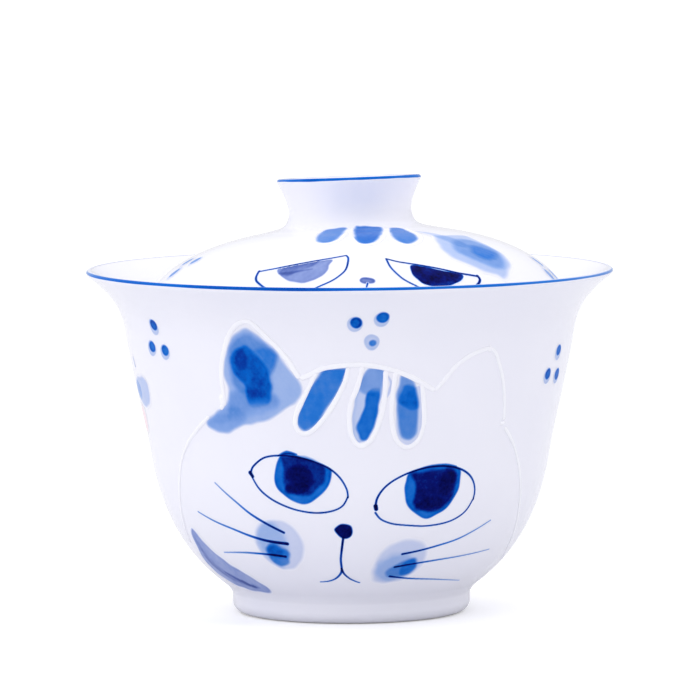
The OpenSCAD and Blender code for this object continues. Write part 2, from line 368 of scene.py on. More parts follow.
def spot(centre, radii, density, soft=0.3, tilt=0.0, **more):
    """A wash in an ellipse; radii are in millimetres, and tilt turns it."""
    def layer(skin, uv, points):
        a = np.radians(np.arange(0, 360, 24))
        turn = math.radians(tilt)
        x, y = radii[0] * np.cos(a), radii[1] * np.sin(a)
        width = skin.mm_per_u
        if skin.seat is None:
            width = float(np.interp(centre[1], skin.z, skin.r)) * math.pi / 180
        ring = np.stack([centre[0] + (x * math.cos(turn) - y * math.sin(turn)) / width,
                         centre[1] + x * math.sin(turn) + y * math.cos(turn)], 1)
        return area(ring, density, soft, **more)(skin, uv, points)
    return layer


def stroke(path, widths, density=0.9, soft=0.12, tip=None, wobble=0.0, fade=None, seed=1):
    """A brush line through the points. widths are spread along it, and tip is its density at the far end."""
    def layer(skin, uv, points):
        line = smooth_path(path)
        along_line = np.linspace(0, 1, len(line))
        half = np.interp(along_line, np.linspace(0, 1, len(widths)), widths) / 2
        gap, along = segment_distance(points, skin.at(line)[0], half)
        gap = gap + wobble * grain(points, 1.6, seed)
        dense = density if tip is None else density + (tip - density) * step_up(along)
        return dense * step_up(0.5 - gap / soft) * faded(skin, uv, fade)
    return layer


def film(name, skin, u_range, v_range, layers, material, step=FINE_STEP, cloud=0.10, seed=1,
         lift=FILM_LIFT):
    """A painted film: layers of pigment on a fine grid over the skin, trimmed to where there is pigment."""
    nu = int((u_range[1] - u_range[0]) * skin.mm_per_u / step) + 2
    nv = int((v_range[1] - v_range[0]) / step) + 2
    u, v = np.meshgrid(np.linspace(*u_range, nu), np.linspace(*v_range, nv), indexing="ij")
    uv = np.stack([u.ravel(), v.ravel()], 1)
    points, out = skin.at(uv)
    clear = np.ones(len(uv))
    for layer in layers:
        clear *= 1 - np.clip(layer(skin, uv, points), 0, 1)
    pigment = 1 - clear
    flow = cloud * (0.65 * grain(points, 3.0, seed) + 0.45 * grain(points, 0.9, seed + 1))
    pigment = np.clip(pigment * (1 + flow * 4 * pigment * (1 - pigment) + 0.3 * flow), 0, 1)

    quads = grid_faces(nu, nv)
    quads = quads[(pigment[quads] > PIGMENT_LEAST).any(1)]
    used = np.unique(quads)
    place = np.zeros(len(uv), int)
    place[used] = np.arange(len(used))
    low, high = uv.min(0), uv.max(0)
    size = (high - low) * np.array([skin.mm_per_u, 1.0])
    uvs = (uv[used] - low) * np.array([skin.mm_per_u, 1.0]) / size.max()
    ob = new_mesh(name, points[used] + lift * out[used], place[quads].tolist(), skin.body, skin.seat,
                  out[used], 0.01 + 0.98 * uvs)
    lay_pigment(ob, pigment[used], material)


# --- raised slip
def ridge_mesh(skin, strokes, width, height):
    """Rounded ridges along paths on the skin. A stroke is (points, how much wider than usual)."""
    section = np.radians(np.linspace(-100, 100, 13))
    k = len(section)
    verts, faces = [], []
    for number, (points, wider) in enumerate(strokes):
        line = smooth_path(points, n=10)
        place, _ = skin.at(line)
        along = np.concatenate([[0], np.cumsum(np.linalg.norm(np.diff(place, axis=0), axis=1))])
        steps = np.linspace(0, along[-1], max(int(along[-1] / 0.3), 8))
        line = np.stack([np.interp(steps, along, line[:, c]) for c in (0, 1)], 1)
        place, out = skin.at(line)
        d = np.gradient(place, axis=0)
        side = np.cross(d, out)
        side /= np.linalg.norm(side, axis=1, keepdims=True)
        w = width * wider / 2 * (1 + 0.10 * grain(place, 5.0, number) + 0.05 * grain(place, 1.5, number + 40))
        h = height * min(wider, 1.5) * (1 + 0.15 * grain(place, 3.5, number + 20))
        end = np.minimum(steps, steps[-1] - steps)
        rounding = np.sqrt(np.clip(1 - (1 - np.clip(end / (0.6 * width * wider), 0, 1)) ** 2, 0.01, 1))
        w, h = w * rounding, h * rounding
        base = sum(len(v) for v in verts)
        ring = (place[:, None] + (w[:, None] * np.sin(section))[:, :, None] * side[:, None]
                + (h[:, None] * np.cos(section))[:, :, None] * out[:, None])
        verts.append(ring.reshape(-1, 3))
        n = len(place)
        for i in range(n - 1):
            for j in range(k):
                a, b = base + i * k + j, base + i * k + (j + 1) % k
                faces.append([a, b, b + k, a + k])
        faces.append([base + j for j in range(k - 1, -1, -1)])
        faces.append([base + (n - 1) * k + j for j in range(k)])
    return np.vstack(verts), faces


def ridges(name, skin, strokes, height, material, node):
    verts, faces = ridge_mesh(skin, strokes, SLIP_W, height)
    ob = new_mesh(name, verts, faces, skin.body, skin.seat)
    finish_piece(ob, "white_slip", material)
    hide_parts(node)


# --- materials
def linear(r, g, b):
    """Linear colour of an 8-bit screen colour."""
    def one(c):
        c /= 255
        return c / 12.92 if c <= 0.04045 else ((c + 0.055) / 1.055) ** 2.4
    return (one(r), one(g), one(b), 1.0)


PORCELAIN = linear(242, 242, 252)
PIGMENT_RAMP = ((0.0, PORCELAIN), (0.10, linear(203, 211, 240)), (0.20, linear(163, 186, 232)),
                (0.30, linear(132, 165, 226)), (0.45, linear(88, 137, 211)), (0.60, linear(38, 116, 209)),
                (0.72, linear(2, 97, 198)), (0.82, linear(2, 58, 160)), (0.92, linear(2, 16, 108)),
                (1.0, linear(0, 0, 58)))
MUTED_RAMP = ((0.0, PORCELAIN), (0.2, linear(188, 198, 231)), (0.4, linear(134, 152, 209)),
              (0.65, linear(78, 100, 174)), (1.0, linear(20, 25, 90)))
BLUSH_RAMP = ((0.0, PORCELAIN), (0.5, linear(250, 214, 224)), (1.0, linear(240, 150, 170)))


def node_material(name, roughness, specular=0.25):
    material = bpy.data.materials.new(name)
    material.use_nodes = True
    tree = material.node_tree
    shader = tree.nodes["Principled BSDF"]
    shader.inputs["Roughness"].default_value = roughness
    shader.inputs["Specular IOR Level"].default_value = specular
    return material, tree, shader


def add_noise(tree, scale, detail=3.0):
    where = tree.nodes.new("ShaderNodeTexCoord")
    noise = tree.nodes.new("ShaderNodeTexNoise")
    noise.inputs["Scale"].default_value = scale
    noise.inputs["Detail"].default_value = detail
    tree.links.new(where.outputs["Object"], noise.inputs["Vector"])
    return noise.outputs["Fac"]


def add_bump(tree, shader, height, strength, distance):
    bump = tree.nodes.new("ShaderNodeBump")
    bump.inputs["Strength"].default_value = strength
    bump.inputs["Distance"].default_value = distance
    tree.links.new(height, bump.inputs["Height"])
    tree.links.new(bump.outputs["Normal"], shader.inputs["Normal"])


def ramp_of(tree, stops, factor):
    ramp = tree.nodes.new("ShaderNodeValToRGB")
    for at, colour in stops[1:-1]:
        ramp.color_ramp.elements.new(at).color = colour
    ramp.color_ramp.elements[0].color = stops[0][1]
    ramp.color_ramp.elements[-1].color = stops[-1][1]
    tree.links.new(factor, ramp.inputs["Fac"])
    return ramp.outputs["Color"]


def porcelain_material():
    """White glazed porcelain: slight clouding of the body, slight ripple of the glaze."""
    material, tree, shader = node_material("glazed_porcelain", 0.09)
    cloud = ramp_of(tree, ((0.0, linear(238, 238, 250)), (1.0, linear(242, 242, 252))), add_noise(tree, 60.0))
    tree.links.new(cloud, shader.inputs["Base Color"])
    add_bump(tree, shader, add_noise(tree, 90.0, 2.0), 0.04, 0.0006)
    return material


def biscuit_material():
    """Unglazed, slightly sandy porcelain where the foot stands."""
    material, tree, shader = node_material("unglazed_foot", 0.7, 0.2)
    tone = ramp_of(tree, ((0.0, linear(222, 217, 210)), (1.0, linear(240, 237, 232))), add_noise(tree, 900.0))
    tree.links.new(tone, shader.inputs["Base Color"])
    add_bump(tree, shader, add_noise(tree, 2500.0), 0.3, 0.0001)
    return material


def paint_material(name, stops):
    """Underglaze pigment: its colour follows how much of it the brush left."""
    material, tree, shader = node_material(name, 0.09, 0.03)
    amount = tree.nodes.new("ShaderNodeAttribute")
    amount.attribute_name = "pigment"
    speck = tree.nodes.new("ShaderNodeMapRange")
    speck.inputs["To Min"].default_value = 0.94
    speck.inputs["To Max"].default_value = 1.06
    tree.links.new(add_noise(tree, 2200.0, 4.0), speck.inputs["Value"])
    mixed = tree.nodes.new("ShaderNodeMath")
    mixed.operation = "MULTIPLY"
    tree.links.new(amount.outputs["Fac"], mixed.inputs[0])
    tree.links.new(speck.outputs["Result"], mixed.inputs[1])
    tree.links.new(ramp_of(tree, stops, mixed.outputs[0]), shader.inputs["Base Color"])
    return material


def slip_material():
    """Raised white slip under the glaze, whiter than the body."""
    material, tree, shader = node_material("trailed_slip", 0.2, 0.4)
    tone = ramp_of(tree, ((0.0, linear(244, 244, 254)), (1.0, linear(249, 249, 255))), add_noise(tree, 700.0))
    tree.links.new(tone, shader.inputs["Base Color"])
    add_bump(tree, shader, add_noise(tree, 1200.0), 0.15, 0.0001)
    return material


def floor_material():
    """Pale floor that looks a little brighter to the camera than to the part."""
    material, tree, shader = node_material("pale_floor", 0.9, 0.0)
    tone = ramp_of(tree, ((0.0, (0.79, 0.79, 0.81, 1)), (1.0, (0.81, 0.81, 0.83, 1))), add_noise(tree, 3.0))
    tree.links.new(tone, shader.inputs["Base Color"])
    shader.inputs["Emission Color"].default_value = (1, 1, 1, 1)
    seen = tree.nodes.new("ShaderNodeLightPath")
    glow = tree.nodes.new("ShaderNodeMath")
    glow.operation = "MULTIPLY"
    glow.inputs[1].default_value = FLOOR_GLOW
    tree.links.new(seen.outputs["Is Camera Ray"], glow.inputs[0])
    tree.links.new(glow.outputs[0], shader.inputs["Emission Strength"])
    return material


# --- porcelain pieces
def make_bowl(profile, glaze, biscuit):
    outside = profile["outside"]
    outer, inner = FOOT_D / 2, FOOT_D / 2 - FOOT_T
    start = int(np.argmax(outside[:, 0] > outer + GLAZE_FILLET))
    low = pt(outer, FOOT_H - GLAZE_FILLET)
    leave = outside[start] - 0.5 * (outside[start + 1] - outside[0]) / 2
    corner = curve(low, low + pt(0, 0.6 * GLAZE_FILLET), leave, outside[start], 8)
    foot_in = join(pt(inner - 1.0, FOOT_H), pt(inner - 0.3, FOOT_H - 0.1), pt(inner, FOOT_H - 0.8))
    contact = join(arc(pt(inner + FOOT_EDGE, FOOT_EDGE), FOOT_EDGE, 180, 270, 8),
                   arc(pt(outer - FOOT_ROUND, FOOT_ROUND), FOOT_ROUND, -90, 0, 16))
    outline = join(pt(0, FOOT_H), pt(8, FOOT_H), foot_in, contact, low, corner, outside[start + 1:],
                   profile["cap"][1:], profile["inside"][::-1], profile["floor"][::-1][1:])
    bowl = turned("porcelain_bowl", outline, "bowl")
    finish_piece(bowl, "white_porcelain", glaze, biscuit)
    for face in bowl.data.polygons:
        if face.center.z < 0.3 * FOOT_EDGE * MM:
            face.material_index = 1
    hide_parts("bowl", "foot_ring")


def make_lid(profile, glaze):
    p = profile
    outline = join(p["hollow"][::-1], p["under"], p["edge"][::-1][1:], p["dome"][::-1][1:],
                   p["fillet"][::-1][1:], p["knob"], p["cap"][1:], p["knob_inside"][::-1][1:],
                   p["well"] - pt(0.5, 0.4), pt(0, p["well"][1] - 0.4))
    lid = turned("porcelain_lid", outline, "lid", p["seat"])
    finish_piece(lid, "white_porcelain", glaze)
    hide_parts("lid", "knob_ring")


def lip_line(name, centre, radius, body, material, node, heavy, seat=None, seed=1, sides=0.45):
    """The painted line round a lip: dense outside, thin over the top, and paler at the left and right sides
    as a painted reflection of the glaze's sheen at grazing view.

    heavy is the direction, in degrees from the right, where the brush left most, and sides is how strongly
    the painted sheen pales the line at the left and right.
    """
    angles = np.linspace(-10, 118, 28)
    a = np.radians(angles)
    outline = centre + (radius + LINE_T / 2) * np.stack([np.cos(a), np.sin(a)], 1)
    ob = new_mesh(name, turned_points(outline), turned_faces(len(angles)), body, seat)
    turn = np.tile(np.arange(TURN_N), len(angles)) * 2 * np.pi / TURN_N
    angle = np.repeat(angles, TURN_N)
    wave = np.sin(3 * turn + seed) + 0.6 * np.sin(7 * turn + 2 * seed) + 0.4 * np.sin(17 * turn)
    rich = np.cos(turn - math.radians(heavy))
    # pale is painted reflection: pigment thinned at the left and right of the turn for the glaze's sheen at
    # grazing view; it also lowers the line's upper edge there.
    pale = sides * np.exp(-(np.sin(turn) / np.where(np.cos(turn) > 0, 0.5, 0.25)) ** 2)
    upper = 1 - step_up((angle - 55 - 4 * wave - 8 * rich + 25 * pale) / 24)
    lower = step_up((angle - 7 + 3 * wave + 5 * rich) / 9)
    pigment = (0.66 + 0.03 * wave + 0.07 * rich) * (1 - pale) * upper * lower + 0.05 * (1 - upper)
    lay_pigment(ob, np.clip(pigment, 0, 1), material)
    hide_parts(node)


def reach(values, margin):
    return min(values) - margin, max(values) + margin


# --- the painting on the bowl
def paint_dots(skin, paint):
    """Clusters of three dots below the lip: a pale disc with a dark drop in each."""
    front = (((1.2, 58.3), 1.0), ((7.6, 59.2), 0.9), ((5.4, 54.9), 0.55))
    left = (((-57.6, 56.3), 1.0), ((-60.7, 52.1), 0.95), ((-54.5, 51.7), 0.85))
    right = (((67.9, 50.5), 0.9), ((63.3, 46.3), 0.95), ((70.0, 45.9), 0.9))
    clusters = [("front", front), ("left", left), ("right", right)]
    for name, turn, height in (("right_back", 128, 52.0), ("back", 187, 55.0), ("left_back", 244, 51.0)):
        clusters.append((name, tuple(((turn + u, height + v), d)
                                     for u, v, d in ((-3.6, 1.9, 1.0), (2.6, 2.7, 0.9), (0.4, -1.8, 0.8)))))
    for number, (name, dots) in enumerate(clusters):
        layers = []
        for k, ((u, v), dense) in enumerate(dots):
            layers.append(spot((u, v), (1.5, 1.5), 0.13, 0.3, edge=0.03, seed=k))
            core = 1.15 if dense > 0.6 else 0.8
            low = 0.35 if dense > 0.6 else -0.25
            layers.append(spot((u + 0.2, v + low), (core, 0.9 * core), 0.68 * dense, 0.35, edge=0.08,
                               seed=k + 3))
        us, vs = np.array([d[0] for d in dots]).T
        film("dots_" + name, skin, reach(us, 3), reach(vs, 2), layers, paint, seed=number)


def paint_ear(skin, paint):
    whole = area([(-32, 53.2), (-30.5, 55.4), (-27, 57), (-25, 57), (-22, 55.2), (-18.5, 52.8),
        (-16, 50.2), (-12.5, 46.4), (-14, 43.8), (-16.5, 42.6), (-21.5, 40.4), (-26.5, 39.4), (-31, 38.6),
        (-34.5, 37.4), (-39, 37.4), (-42, 38.8), (-38, 41), (-34, 43), (-33, 45.6), (-34, 48.2),
        (-33.5, 50.8)], 0.23, 0.9)
    middle = area([(-32, 51.2), (-31.5, 53.6), (-29, 55.4), (-26, 56.2), (-23, 55.2), (-20.5, 54),
        (-18.5, 52.4), (-19, 50.8), (-20.5, 48.6), (-20.5, 45.8), (-23.5, 44), (-27.5, 44.6), (-31, 46),
        (-32, 48.4)], 0.26, 1.5, seed=2)
    skirt = area([(-33, 44.4), (-28.5, 46), (-23.5, 45.4), (-20, 45), (-19, 43), (-22.5, 41.2),
        (-26.5, 40), (-30.5, 39.4), (-34, 40)], 0.20, 1.4, seed=3, fade=((-27, 43), (-26, 39.6)))
    core = area([(-31, 52.4), (-28.5, 53.6), (-26.5, 54), (-24.5, 52.8), (-22.5, 51), (-21, 49.4),
        (-20.5, 46.6), (-21, 44.2), (-22.5, 42.8), (-26, 42.2), (-27.5, 42.8), (-28, 44.2), (-28, 46.4),
        (-29.5, 47.6), (-31, 48.8), (-31.5, 50.4)], 0.56, 0.9, wobble=0.15, seed=5, fade=((-24.6, 44.2),
        (-24.6, 41.6)))
    shoulder = area([(-24.5, 53), (-22.5, 53.6), (-20, 53.2), (-18.5, 52.4), (-19, 50.8), (-20.5, 48.6),
        (-21.5, 49.6), (-23, 51.8)], 0.26, 1.2, seed=6)
    lobe = area([(-42.5, 39.2), (-40.5, 40.2), (-36.5, 41.4), (-33.5, 42.4), (-29.5, 41.6), (-29.5, 39.6),
        (-33, 38.2), (-37, 37.4), (-41, 38)], 0.12, 1.4, wobble=0.2, seed=4)
    layers = [
        whole,
        middle,
        skirt,
        core,
        shoulder,
        lobe,
        spot((-36.5, 39.8), (2.2, 0.8), 0.08, 1.0, tilt=12),
        spot((-28.5, 51.2), (1.4, 2.0), 0.30, 1.2, seed=6),
        spot((-24.4, 47), (1.3, 3.0), 0.14, 1.4, seed=7),
    ]
    film("ear_wash", skin, (-44, -11), (36, 58.5), layers, paint, step=WASH_STEP, cloud=0.06, seed=11)


def paint_stripes(skin, paint):
    """Three brushed stripes on the forehead."""
    one = area([(-7, 49.6), (-5, 50), (-1, 49.8), (-1.5, 48.4), (-3, 46), (-5.5, 43.2), (-8, 40.4),
        (-10.5, 38.8), (-12.5, 38.2), (-14, 39.2), (-14, 41), (-12.5, 43.2), (-10.5, 46), (-8.5, 48)],
        0.58, 0.9, wobble=0.1, seed=21)
    two = area([(4.5, 49.8), (8.5, 49.4), (8.5, 47.4), (8, 44.2), (7, 41.8), (6, 38.8), (4.5, 36.6),
        (2, 36), (0.5, 37.2), (0.5, 40.4), (1, 43.6), (2, 46), (3, 48)], 0.14, 0.4, edge=0.03, seed=22)
    two_top = area([(4.5, 49.8), (6, 50), (8.5, 49.4), (8, 46), (6, 44.8), (3.5, 45.2), (2, 46.6),
        (3, 48)], 0.24, 0.8, seed=23)
    two_dark = area([(6, 46.4), (7.5, 46.4), (7.5, 44.2), (7, 41), (6, 38.6), (4.5, 36.8), (3, 36.6),
        (2, 37.6), (1.5, 39), (2.5, 40.6), (3.5, 42.2), (4, 44.2), (4.5, 45.6)],
        0.62, 0.6, edge=0.02, seed=24, fade=((6, 44.8), (6, 46.8)))
    three = area([(13, 48.4), (15, 48), (16.5, 47.2), (17.5, 45), (18, 41.4), (18, 38.6), (17.5, 37.2),
        (16, 36.4), (14, 37), (13, 38.8), (12.5, 41.6), (12, 44.4), (12.5, 46.6)], 0.40, 0.8, seed=25)
    three_dark = area([(13.5, 45.8), (14, 46.6), (15.5, 46.6), (17, 46), (17.5, 44.4), (18, 42.4),
        (16, 42), (13.5, 43), (12.5, 44)], 0.46, 0.8, seed=26)
    three_low = area([(13, 43.4), (17.5, 43.4), (17.8, 40), (17, 37.8), (15.4, 37), (13.6, 38.6),
        (13, 41)], 0.10, 0.6, seed=27)
    three_pale = area([(17.5, 46.4), (19, 45), (19.5, 41.4), (19.5, 38.6), (17.5, 35.8), (15.5, 35.4),
        (13.5, 36), (12.4, 38), (12, 41), (13, 44)], 0.10, 0.4, seed=28)
    sliver = stroke([(9.5, 48.6), (10.5, 47.0), (10, 45.4), (9.2, 44.2)], (0.2, 0.7, 0.2), 0.14, 0.4)
    film("stripe_washes", skin, (-16, 21), (34.5, 50.8), [one, two, two_top, two_dark, three, three_dark,
        three_low, three_pale, sliver], paint, step=WASH_STEP, cloud=0.06, seed=12)


def paint_eye_left(skin, paint):
    lid_line = [(-29.3, 29.9), (-28.2, 31.2), (-24.5, 32.9), (-19.5, 33.4), (-14.5, 33.1), (-10, 32.3),
        (-6, 31.1), (-3, 29.3), (-1.2, 27.2), (-0.8, 25.6)]
    lower_line = [(-0.8, 25.8), (-2.4, 24), (-5.5, 23), (-10.2, 22.6), (-15.5, 23), (-20, 23.9),
        (-24, 25.2), (-27.2, 27), (-29.4, 29.6)]
    iris = [(-19.6, 33.5), (-21.4, 31), (-22, 29), (-21.3, 27.2), (-19.6, 25.9), (-17, 24.8), (-14, 24.3),
        (-11.2, 24.8), (-8.4, 26.2), (-6.3, 27.8), (-5.4, 30), (-5.9, 31.2), (-10, 32.4), (-15, 33.6),
        (-17.5, 33.9)]
    dark = [(-19.4, 33.2), (-19, 31), (-19.3, 28.4), (-18.6, 26.7), (-15.4, 25.9), (-12, 26), (-9.8, 27),
        (-7.6, 28.4), (-7.1, 30.4), (-8.2, 31.9), (-13, 33)]
    layers = [
        area(iris, 0.68, 0.35, edge=0.05, wobble=0.1, seed=31),
        area(dark, 0.64, 0.9, wobble=0.2, seed=32),
        spot((-14.4, 29.6), (2.6, 1.9), 0.62, 1.0, tilt=-20, wobble=0.3, seed=33),
        spot((-15.5, 27.2), (2.4, 1.1), 0.62, 0.8, tilt=4, wobble=0.3, seed=34),
        stroke([(-20.5, 33.3), (-17.8, 34.0), (-15, 33.7)], (0.2, 0.7, 0.2), 0.7, 0.3),
        stroke(lid_line, (0.42, 0.34, 0.32, 0.36, 0.34, 0.30, 0.30), 0.88, 0.12),
        stroke(lower_line, (0.30, 0.30, 0.34, 0.32, 0.34, 0.36, 0.26), 0.88, 0.12),
        stroke([(-29.5, 29.9), (-28.8, 29.2)], (0.75, 0.6), 0.97, 0.15),
    ]
    film("eye_left", skin, (-31, 0.5), (21.8, 34.8), layers, paint, cloud=0.05, seed=13)


def paint_eye_right(skin, paint):
    lid_line = [(7.2, 23.6), (7.5, 25.2), (9, 26.9), (11.5, 28.4), (15.2, 29.7), (18.8, 30.5),
        (22.8, 31.0), (27.5, 31.0), (31.5, 30.5), (35, 29.4), (37.3, 27.9), (38.5, 26.0), (38.5, 24.2)]
    lower_line = [(38.5, 24.4), (36.6, 22.2), (33.4, 20.8), (29, 20), (23, 19.7), (17, 20), (12.5, 20.4),
        (9, 21.3), (7.2, 22.6)]
    iris = [(17, 30.1), (15.8, 28.2), (15.6, 26.2), (16.3, 24.4), (18.2, 22.8), (21, 21.6), (23.6, 21.2),
        (26.4, 21.8), (29, 22.8), (31.2, 24.6), (32.6, 26.8), (32.7, 28.8), (31.9, 30.4), (27.5, 31.1),
        (22.5, 31)]
    dark = [(17.6, 29.8), (18.4, 27.8), (18.6, 25.6), (18.4, 24.2), (20.4, 23), (24.2, 22.4), (27.6, 22.9),
        (30.2, 24.6), (31.6, 27), (31.4, 29.6), (28, 30.6), (22, 30.2)]
    layers = [
        area(iris, 0.68, 0.35, edge=0.05, wobble=0.1, seed=41),
        area(dark, 0.76, 0.9, wobble=0.2, seed=42),
        spot((28.4, 28), (1.6, 2.4), 0.6, 1.0, tilt=-25, wobble=0.3, seed=43),
        spot((23.6, 24), (3.0, 1.2), 0.6, 0.9, tilt=12, wobble=0.3, seed=44),
        stroke([(17.4, 30.3), (22.5, 31.1), (27.5, 31.2), (31, 30.8)], (0.2, 0.45, 0.6, 0.3), 0.6, 0.2),
        stroke(lid_line, (0.46, 0.38, 0.34, 0.36, 0.40, 0.38, 0.32, 0.32), 0.88, 0.12),
        stroke(lower_line, (0.30, 0.32, 0.32, 0.30, 0.30, 0.30, 0.36), 0.86, 0.12),
        stroke([(7.2, 23.9), (7.4, 23.3)], (0.8, 0.75), 0.97, 0.15),
    ]
    film("eye_right", skin, (5.8, 40), (19, 32), layers, paint, cloud=0.05, seed=14)


def paint_nose(skin, paint):
    layers = [
        area([(-5.0, 19.2), (-4.4, 19.9), (-2.6, 20.5), (-0.2, 20.2), (0.5, 19.1), (0, 18.1), (-1.6, 17.6),
            (-3.4, 17.9)], 0.97, 0.3, wobble=0.05, seed=51),
        stroke([(-2.4, 17.9), (-3.0, 15.6), (-3.5, 13.4), (-3.4, 11.3), (-4.2, 10.3), (-6.2, 9.4),
            (-9, 8.9), (-12, 8.75)], (0.46, 0.42, 0.42, 0.42, 0.34, 0.2), 0.93, 0.12, tip=0.72),
        stroke([(-3.4, 11.6), (-2.6, 10.5), (-0.6, 9.5), (1.6, 8.9), (3.2, 8.6)], (0.42, 0.36, 0.3, 0.24),
            0.92, 0.12, tip=0.8),
    ]
    film("nose_and_mouth", skin, (-14, 5), (7.8, 21.2), layers, paint, seed=15)


def paint_cheek_left(skin, paint):
    layers = [
        spot((-23.6, 16.1), (4.7, 4.9), 0.10, 1.0, edge=0.01, seed=61),
        area([(-24.5, 20.4), (-28.5, 20), (-31.2, 17.8), (-31, 15), (-28.4, 12.6), (-25.2, 11.2),
            (-25, 13), (-21.2, 15), (-21, 17.4), (-22.6, 19.4)], 0.13, 1.6, wobble=0.3, seed=62),
        area([(-28.8, 15.4), (-27.4, 16.4), (-24.4, 16.2), (-21.4, 15.2), (-21.2, 13.4), (-23, 12.2),
            (-25.4, 11.6), (-27.6, 12.6), (-29, 14)], 0.46, 0.9, wobble=0.3, seed=63),
        spot((-25.8, 14.7), (1.7, 1.2), 0.34, 0.9, wobble=0.2, seed=64),
        spot((-22.8, 14.2), (1.2, 0.9), 0.20, 0.9, wobble=0.2, seed=65),
        stroke([(-21.2, 18.6), (-26.5, 20.2), (-31.5, 22), (-35.6, 24), (-39.5, 25.9), (-42.6, 27.5)],
            (0.50, 0.48, 0.38, 0.32, 0.24), 0.92, 0.16, tip=0.36),
        stroke([(-20.8, 16.4), (-27.5, 16.8), (-33.5, 17.6), (-39.5, 18.7), (-46.5, 19.9), (-53.4, 21.4)],
            (0.72, 0.60, 0.42, 0.36, 0.26), 0.96, 0.16, tip=0.45),
        stroke([(-22.6, 13.8), (-30, 14.1), (-38.5, 14.1), (-48.4, 13.7)], (0.62, 0.46, 0.36, 0.24),
            0.95, 0.16, tip=0.36),
    ]
    film("cheek_left", skin, (-55.5, -15), (10, 28.5), layers, paint, cloud=0.06, seed=16)


def paint_cheek_right(skin, paint):
    layers = [
        spot((17.2, 12.9), (5.0, 4.0), 0.11, 1.4, tilt=28, seed=71),
        spot((14.8, 11.4), (4.0, 2.6), 0.13, 1.8, tilt=24, wobble=0.3, seed=72),
        area([(12.6, 10.8), (15.6, 11.9), (18.4, 12.8), (21.6, 13.4), (23.2, 12.6), (23.4, 11.2),
            (21.4, 10), (17.5, 9.6), (14, 9.8)], 0.34, 0.9, wobble=0.2, seed=73),
        area([(18.2, 12.4), (21.6, 13.3), (23.1, 12.4), (23.2, 11.2), (21, 10.2), (18, 10.2)],
            0.38, 0.7, edge=0.02, seed=74),
        stroke([(17.2, 14.3), (22.5, 14.8), (29, 15.6), (36, 16.6), (42, 18), (48.2, 19.7)],
            (0.48, 0.40, 0.36, 0.32, 0.24), 0.93, 0.16, tip=0.38),
        stroke([(15.5, 11.7), (22, 12.2), (31, 12.7), (41, 13.1), (54.5, 13.7)],
            (0.50, 0.42, 0.34, 0.30, 0.22), 0.95, 0.16, tip=0.34),
        stroke([(14.5, 9.8), (22, 9.2), (34.5, 8.6), (49.8, 7.7)], (0.54, 0.36, 0.30, 0.22),
            0.93, 0.16, tip=0.28),
    ]
    film("cheek_right", skin, (7, 56), (7.2, 21), layers, paint, cloud=0.06, seed=17)


def paint_tail(skin, paint):
    """A broad stroke that curls under the chin, with the colour of an almost dry brush."""
    outer = [(-61.6, 17.8), (-65, 14.4), (-67.4, 11.6), (-67, 8.8), (-62, 7), (-55, 6.1), (-47.5, 5.8),
        (-40, 5.8), (-37.8, 6.5), (-40, 8), (-45, 9.8), (-50.5, 11.6), (-55.4, 13.6), (-58.6, 15.8)]
    layers = [
        area(outer, 0.36, 0.9, edge=0.05, wobble=0.3, seed=81),
        stroke([(-62.8, 15.6), (-62.6, 11.4), (-58, 8.8), (-51, 7.4), (-44, 6.8)],
            (0.5, 1.6, 2.0, 1.6, 0.6), 0.26, 1.2, wobble=0.2),
        stroke([(-57, 9.2), (-52, 7.9), (-46.5, 6.9), (-43, 6.6)], (0.5, 1.0, 0.9, 0.3),
            0.42, 0.7, wobble=0.15),
        stroke([(-64, 12.2), (-62.4, 10.2), (-59, 8.6)], (0.4, 0.9, 0.4), 0.20, 0.8),
    ]
    film("chin_stroke", skin, (-69, -35), (4.8, 18.4), layers, paint, step=WASH_STEP, cloud=0.08, seed=18)


def paint_left_side(skin, paint, blush):
    """Only the edge of this mark shows from the front, so its shape is a guess."""
    blue = [
        area([(-68, 43.6), (-69, 45.4), (-74, 46), (-79, 45.4), (-82, 43.6), (-81, 41.6), (-75, 40.4),
            (-70, 41)], 0.15, 0.9, wobble=0.2, seed=91),
        area([(-76, 44), (-79, 45), (-82, 43.6), (-80, 41.6), (-76.6, 42)], 0.2, 1.0, seed=93),
        stroke([(-77.4, 49.4), (-77, 47.8)], (0.4, 0.6), 0.2, 0.4),
    ]
    film("side_blot", skin, (-86, -66), (39.5, 50.5), blue, paint, cloud=0.06, seed=19)
    pink = [
        area([(-77.6, 38.8), (-80, 40), (-84, 39.4), (-86, 37), (-83, 35.2), (-79.2, 35.6)],
            0.35, 0.9, wobble=0.25, seed=92),
    ]
    film("side_blush", skin, (-89, -75), (33.5, 41.5), pink, blush, seed=20)


